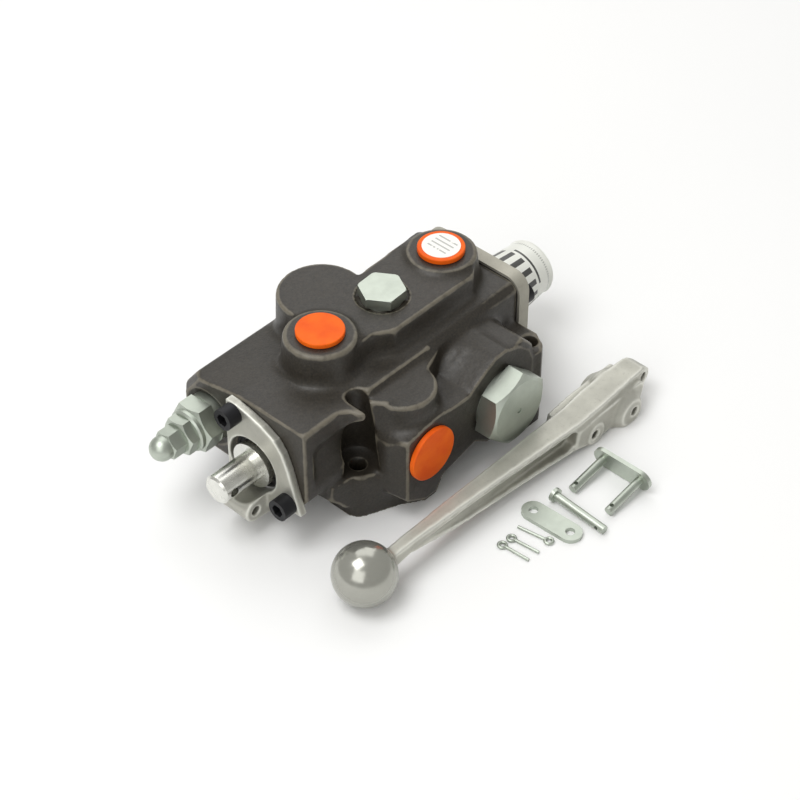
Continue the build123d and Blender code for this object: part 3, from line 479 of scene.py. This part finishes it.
# the spool bore is opened to a clear running fit after the casting pass
spool_low, spool_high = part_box("spool")
spool_mid, spool_radius = (spool_low + spool_high) / 2, (spool_high.z - spool_low.z) / 2
co = arrays(body.data)[0]
across = co[:, 1:] - np.array([spool_mid.y, spool_mid.z])
off_axis = np.linalg.norm(across, axis=1)
bore_radius = spool_radius + BORE_GAP
in_bore = (off_axis > BORE_INNER * spool_radius) & (off_axis < bore_radius)
co[in_bore, 1:] += across[in_bore] * (bore_radius / off_axis[in_bore] - 1)[:, None]
store(body.data, co)

# the lever's ball is turned true and polished after the casting pass
lever_points = arrays(NODES["hand_lever"].data)[0]
ball_pole = lever_points[lever_points[:, 0].argmin()]
ball_centre = ball_pole + np.array([BALL_R, 0, 0])
co = arrays(lever.data)[0]
reach = co - ball_centre
distance = np.linalg.norm(reach, axis=1)
on_ball = (np.abs(distance - BALL_R) < BALL_BAND) & (reach[:, 0] < BALL_NECK * BALL_R)
stretch = BALL_TRUE * BALL_R / distance[on_ball]
co[on_ball] = ball_centre + reach[on_ball] * stretch[:, None]
store(lever.data, co)
save_map(lever.data, "polish", on_ball)

# ---------------------------------------------------------------- softened edges on turned parts
for node in ("load_check_plug", "outlet_plug", "relief_body", "relief_jam_nut", "relief_cap_nut",
             "bracket_screws", "plate_screws", "end_plate", "connecting_link", "link_plate"):
    edge = NODES[node].modifiers.new("edge", "BEVEL")
    edge.width = EDGE_BREAK
    edge.segments = 2
    edge.limit_method = "ANGLE"
    edge.angle_limit = math.radians(EDGE_ANGLE)

# ---------------------------------------------------------------- floor, light and camera
centre = (cad_low + cad_high) / 2
floor_mesh = bpy.data.meshes.new("floor")
builder = bmesh.new()
bmesh.ops.create_grid(builder, x_segments=1, y_segments=1, size=FLOOR_HALF)
builder.to_mesh(floor_mesh)
floor = bpy.data.objects.new("floor", floor_mesh)
floor.location = (centre.x, centre.y, cad_low.z - FLOOR_GAP)
bpy.context.scene.collection.objects.link(floor)
pale = Mat("studio_floor")
pale_color = pale.mix(pale.noise(scale=3.0, detail=2), grey(0.90), grey(0.92))
floor_mesh.materials.append(pale.done(pale_color, 0.85))

world = bpy.data.worlds.new("studio")
world.use_nodes = True
surroundings = world.node_tree.nodes["Background"].inputs
surroundings["Color"].default_value = (1.0, 0.995, 0.96, 1)
surroundings["Strength"].default_value = 0.48
bpy.context.scene.world = world


def direction(azimuth, elevation):
    """Unit vector toward a viewpoint; azimuth 0 is the front, positive toward +X."""
    a, e = math.radians(azimuth), math.radians(elevation)
    return Vector((math.sin(a) * math.cos(e), -math.cos(a) * math.cos(e), math.sin(e)))


def aimed(name, data, target, away, distance):
    """Put a lamp or camera at a distance from its target and turn it to face it."""
    holder = bpy.data.objects.new(name, data)
    holder.location = target + away * distance
    holder.rotation_mode = "QUATERNION"
    holder.rotation_quaternion = (-away).to_track_quat("-Z", "Y")
    bpy.context.scene.collection.objects.link(holder)
    return holder


def softbox(name, azimuth, elevation, distance, size, watts):
    """Square studio light aimed at the middle of the part."""
    data = bpy.data.lights.new(name, "AREA")
    data.size = size
    data.energy = watts
    aimed(name, data, centre, direction(azimuth, elevation), distance)


softbox("key", azimuth=-110, elevation=66, distance=1.3, size=0.7, watts=8)
softbox("fill", azimuth=-72, elevation=34, distance=1.6, size=1.1, watts=6)
softbox("rim", azimuth=133, elevation=46, distance=1.6, size=1.5, watts=9)

camera_data = bpy.data.cameras.new("camera")
camera_data.sensor_width = 36
camera_data.lens = 98.6
toward_camera = direction(CAMERA_AZIMUTH, CAMERA_ELEVATION)
bpy.context.scene.camera = aimed("camera", camera_data, CAMERA_AIM, toward_camera, CAMERA_DISTANCE)
bpy.context.scene.view_settings.view_transform = "Standard"
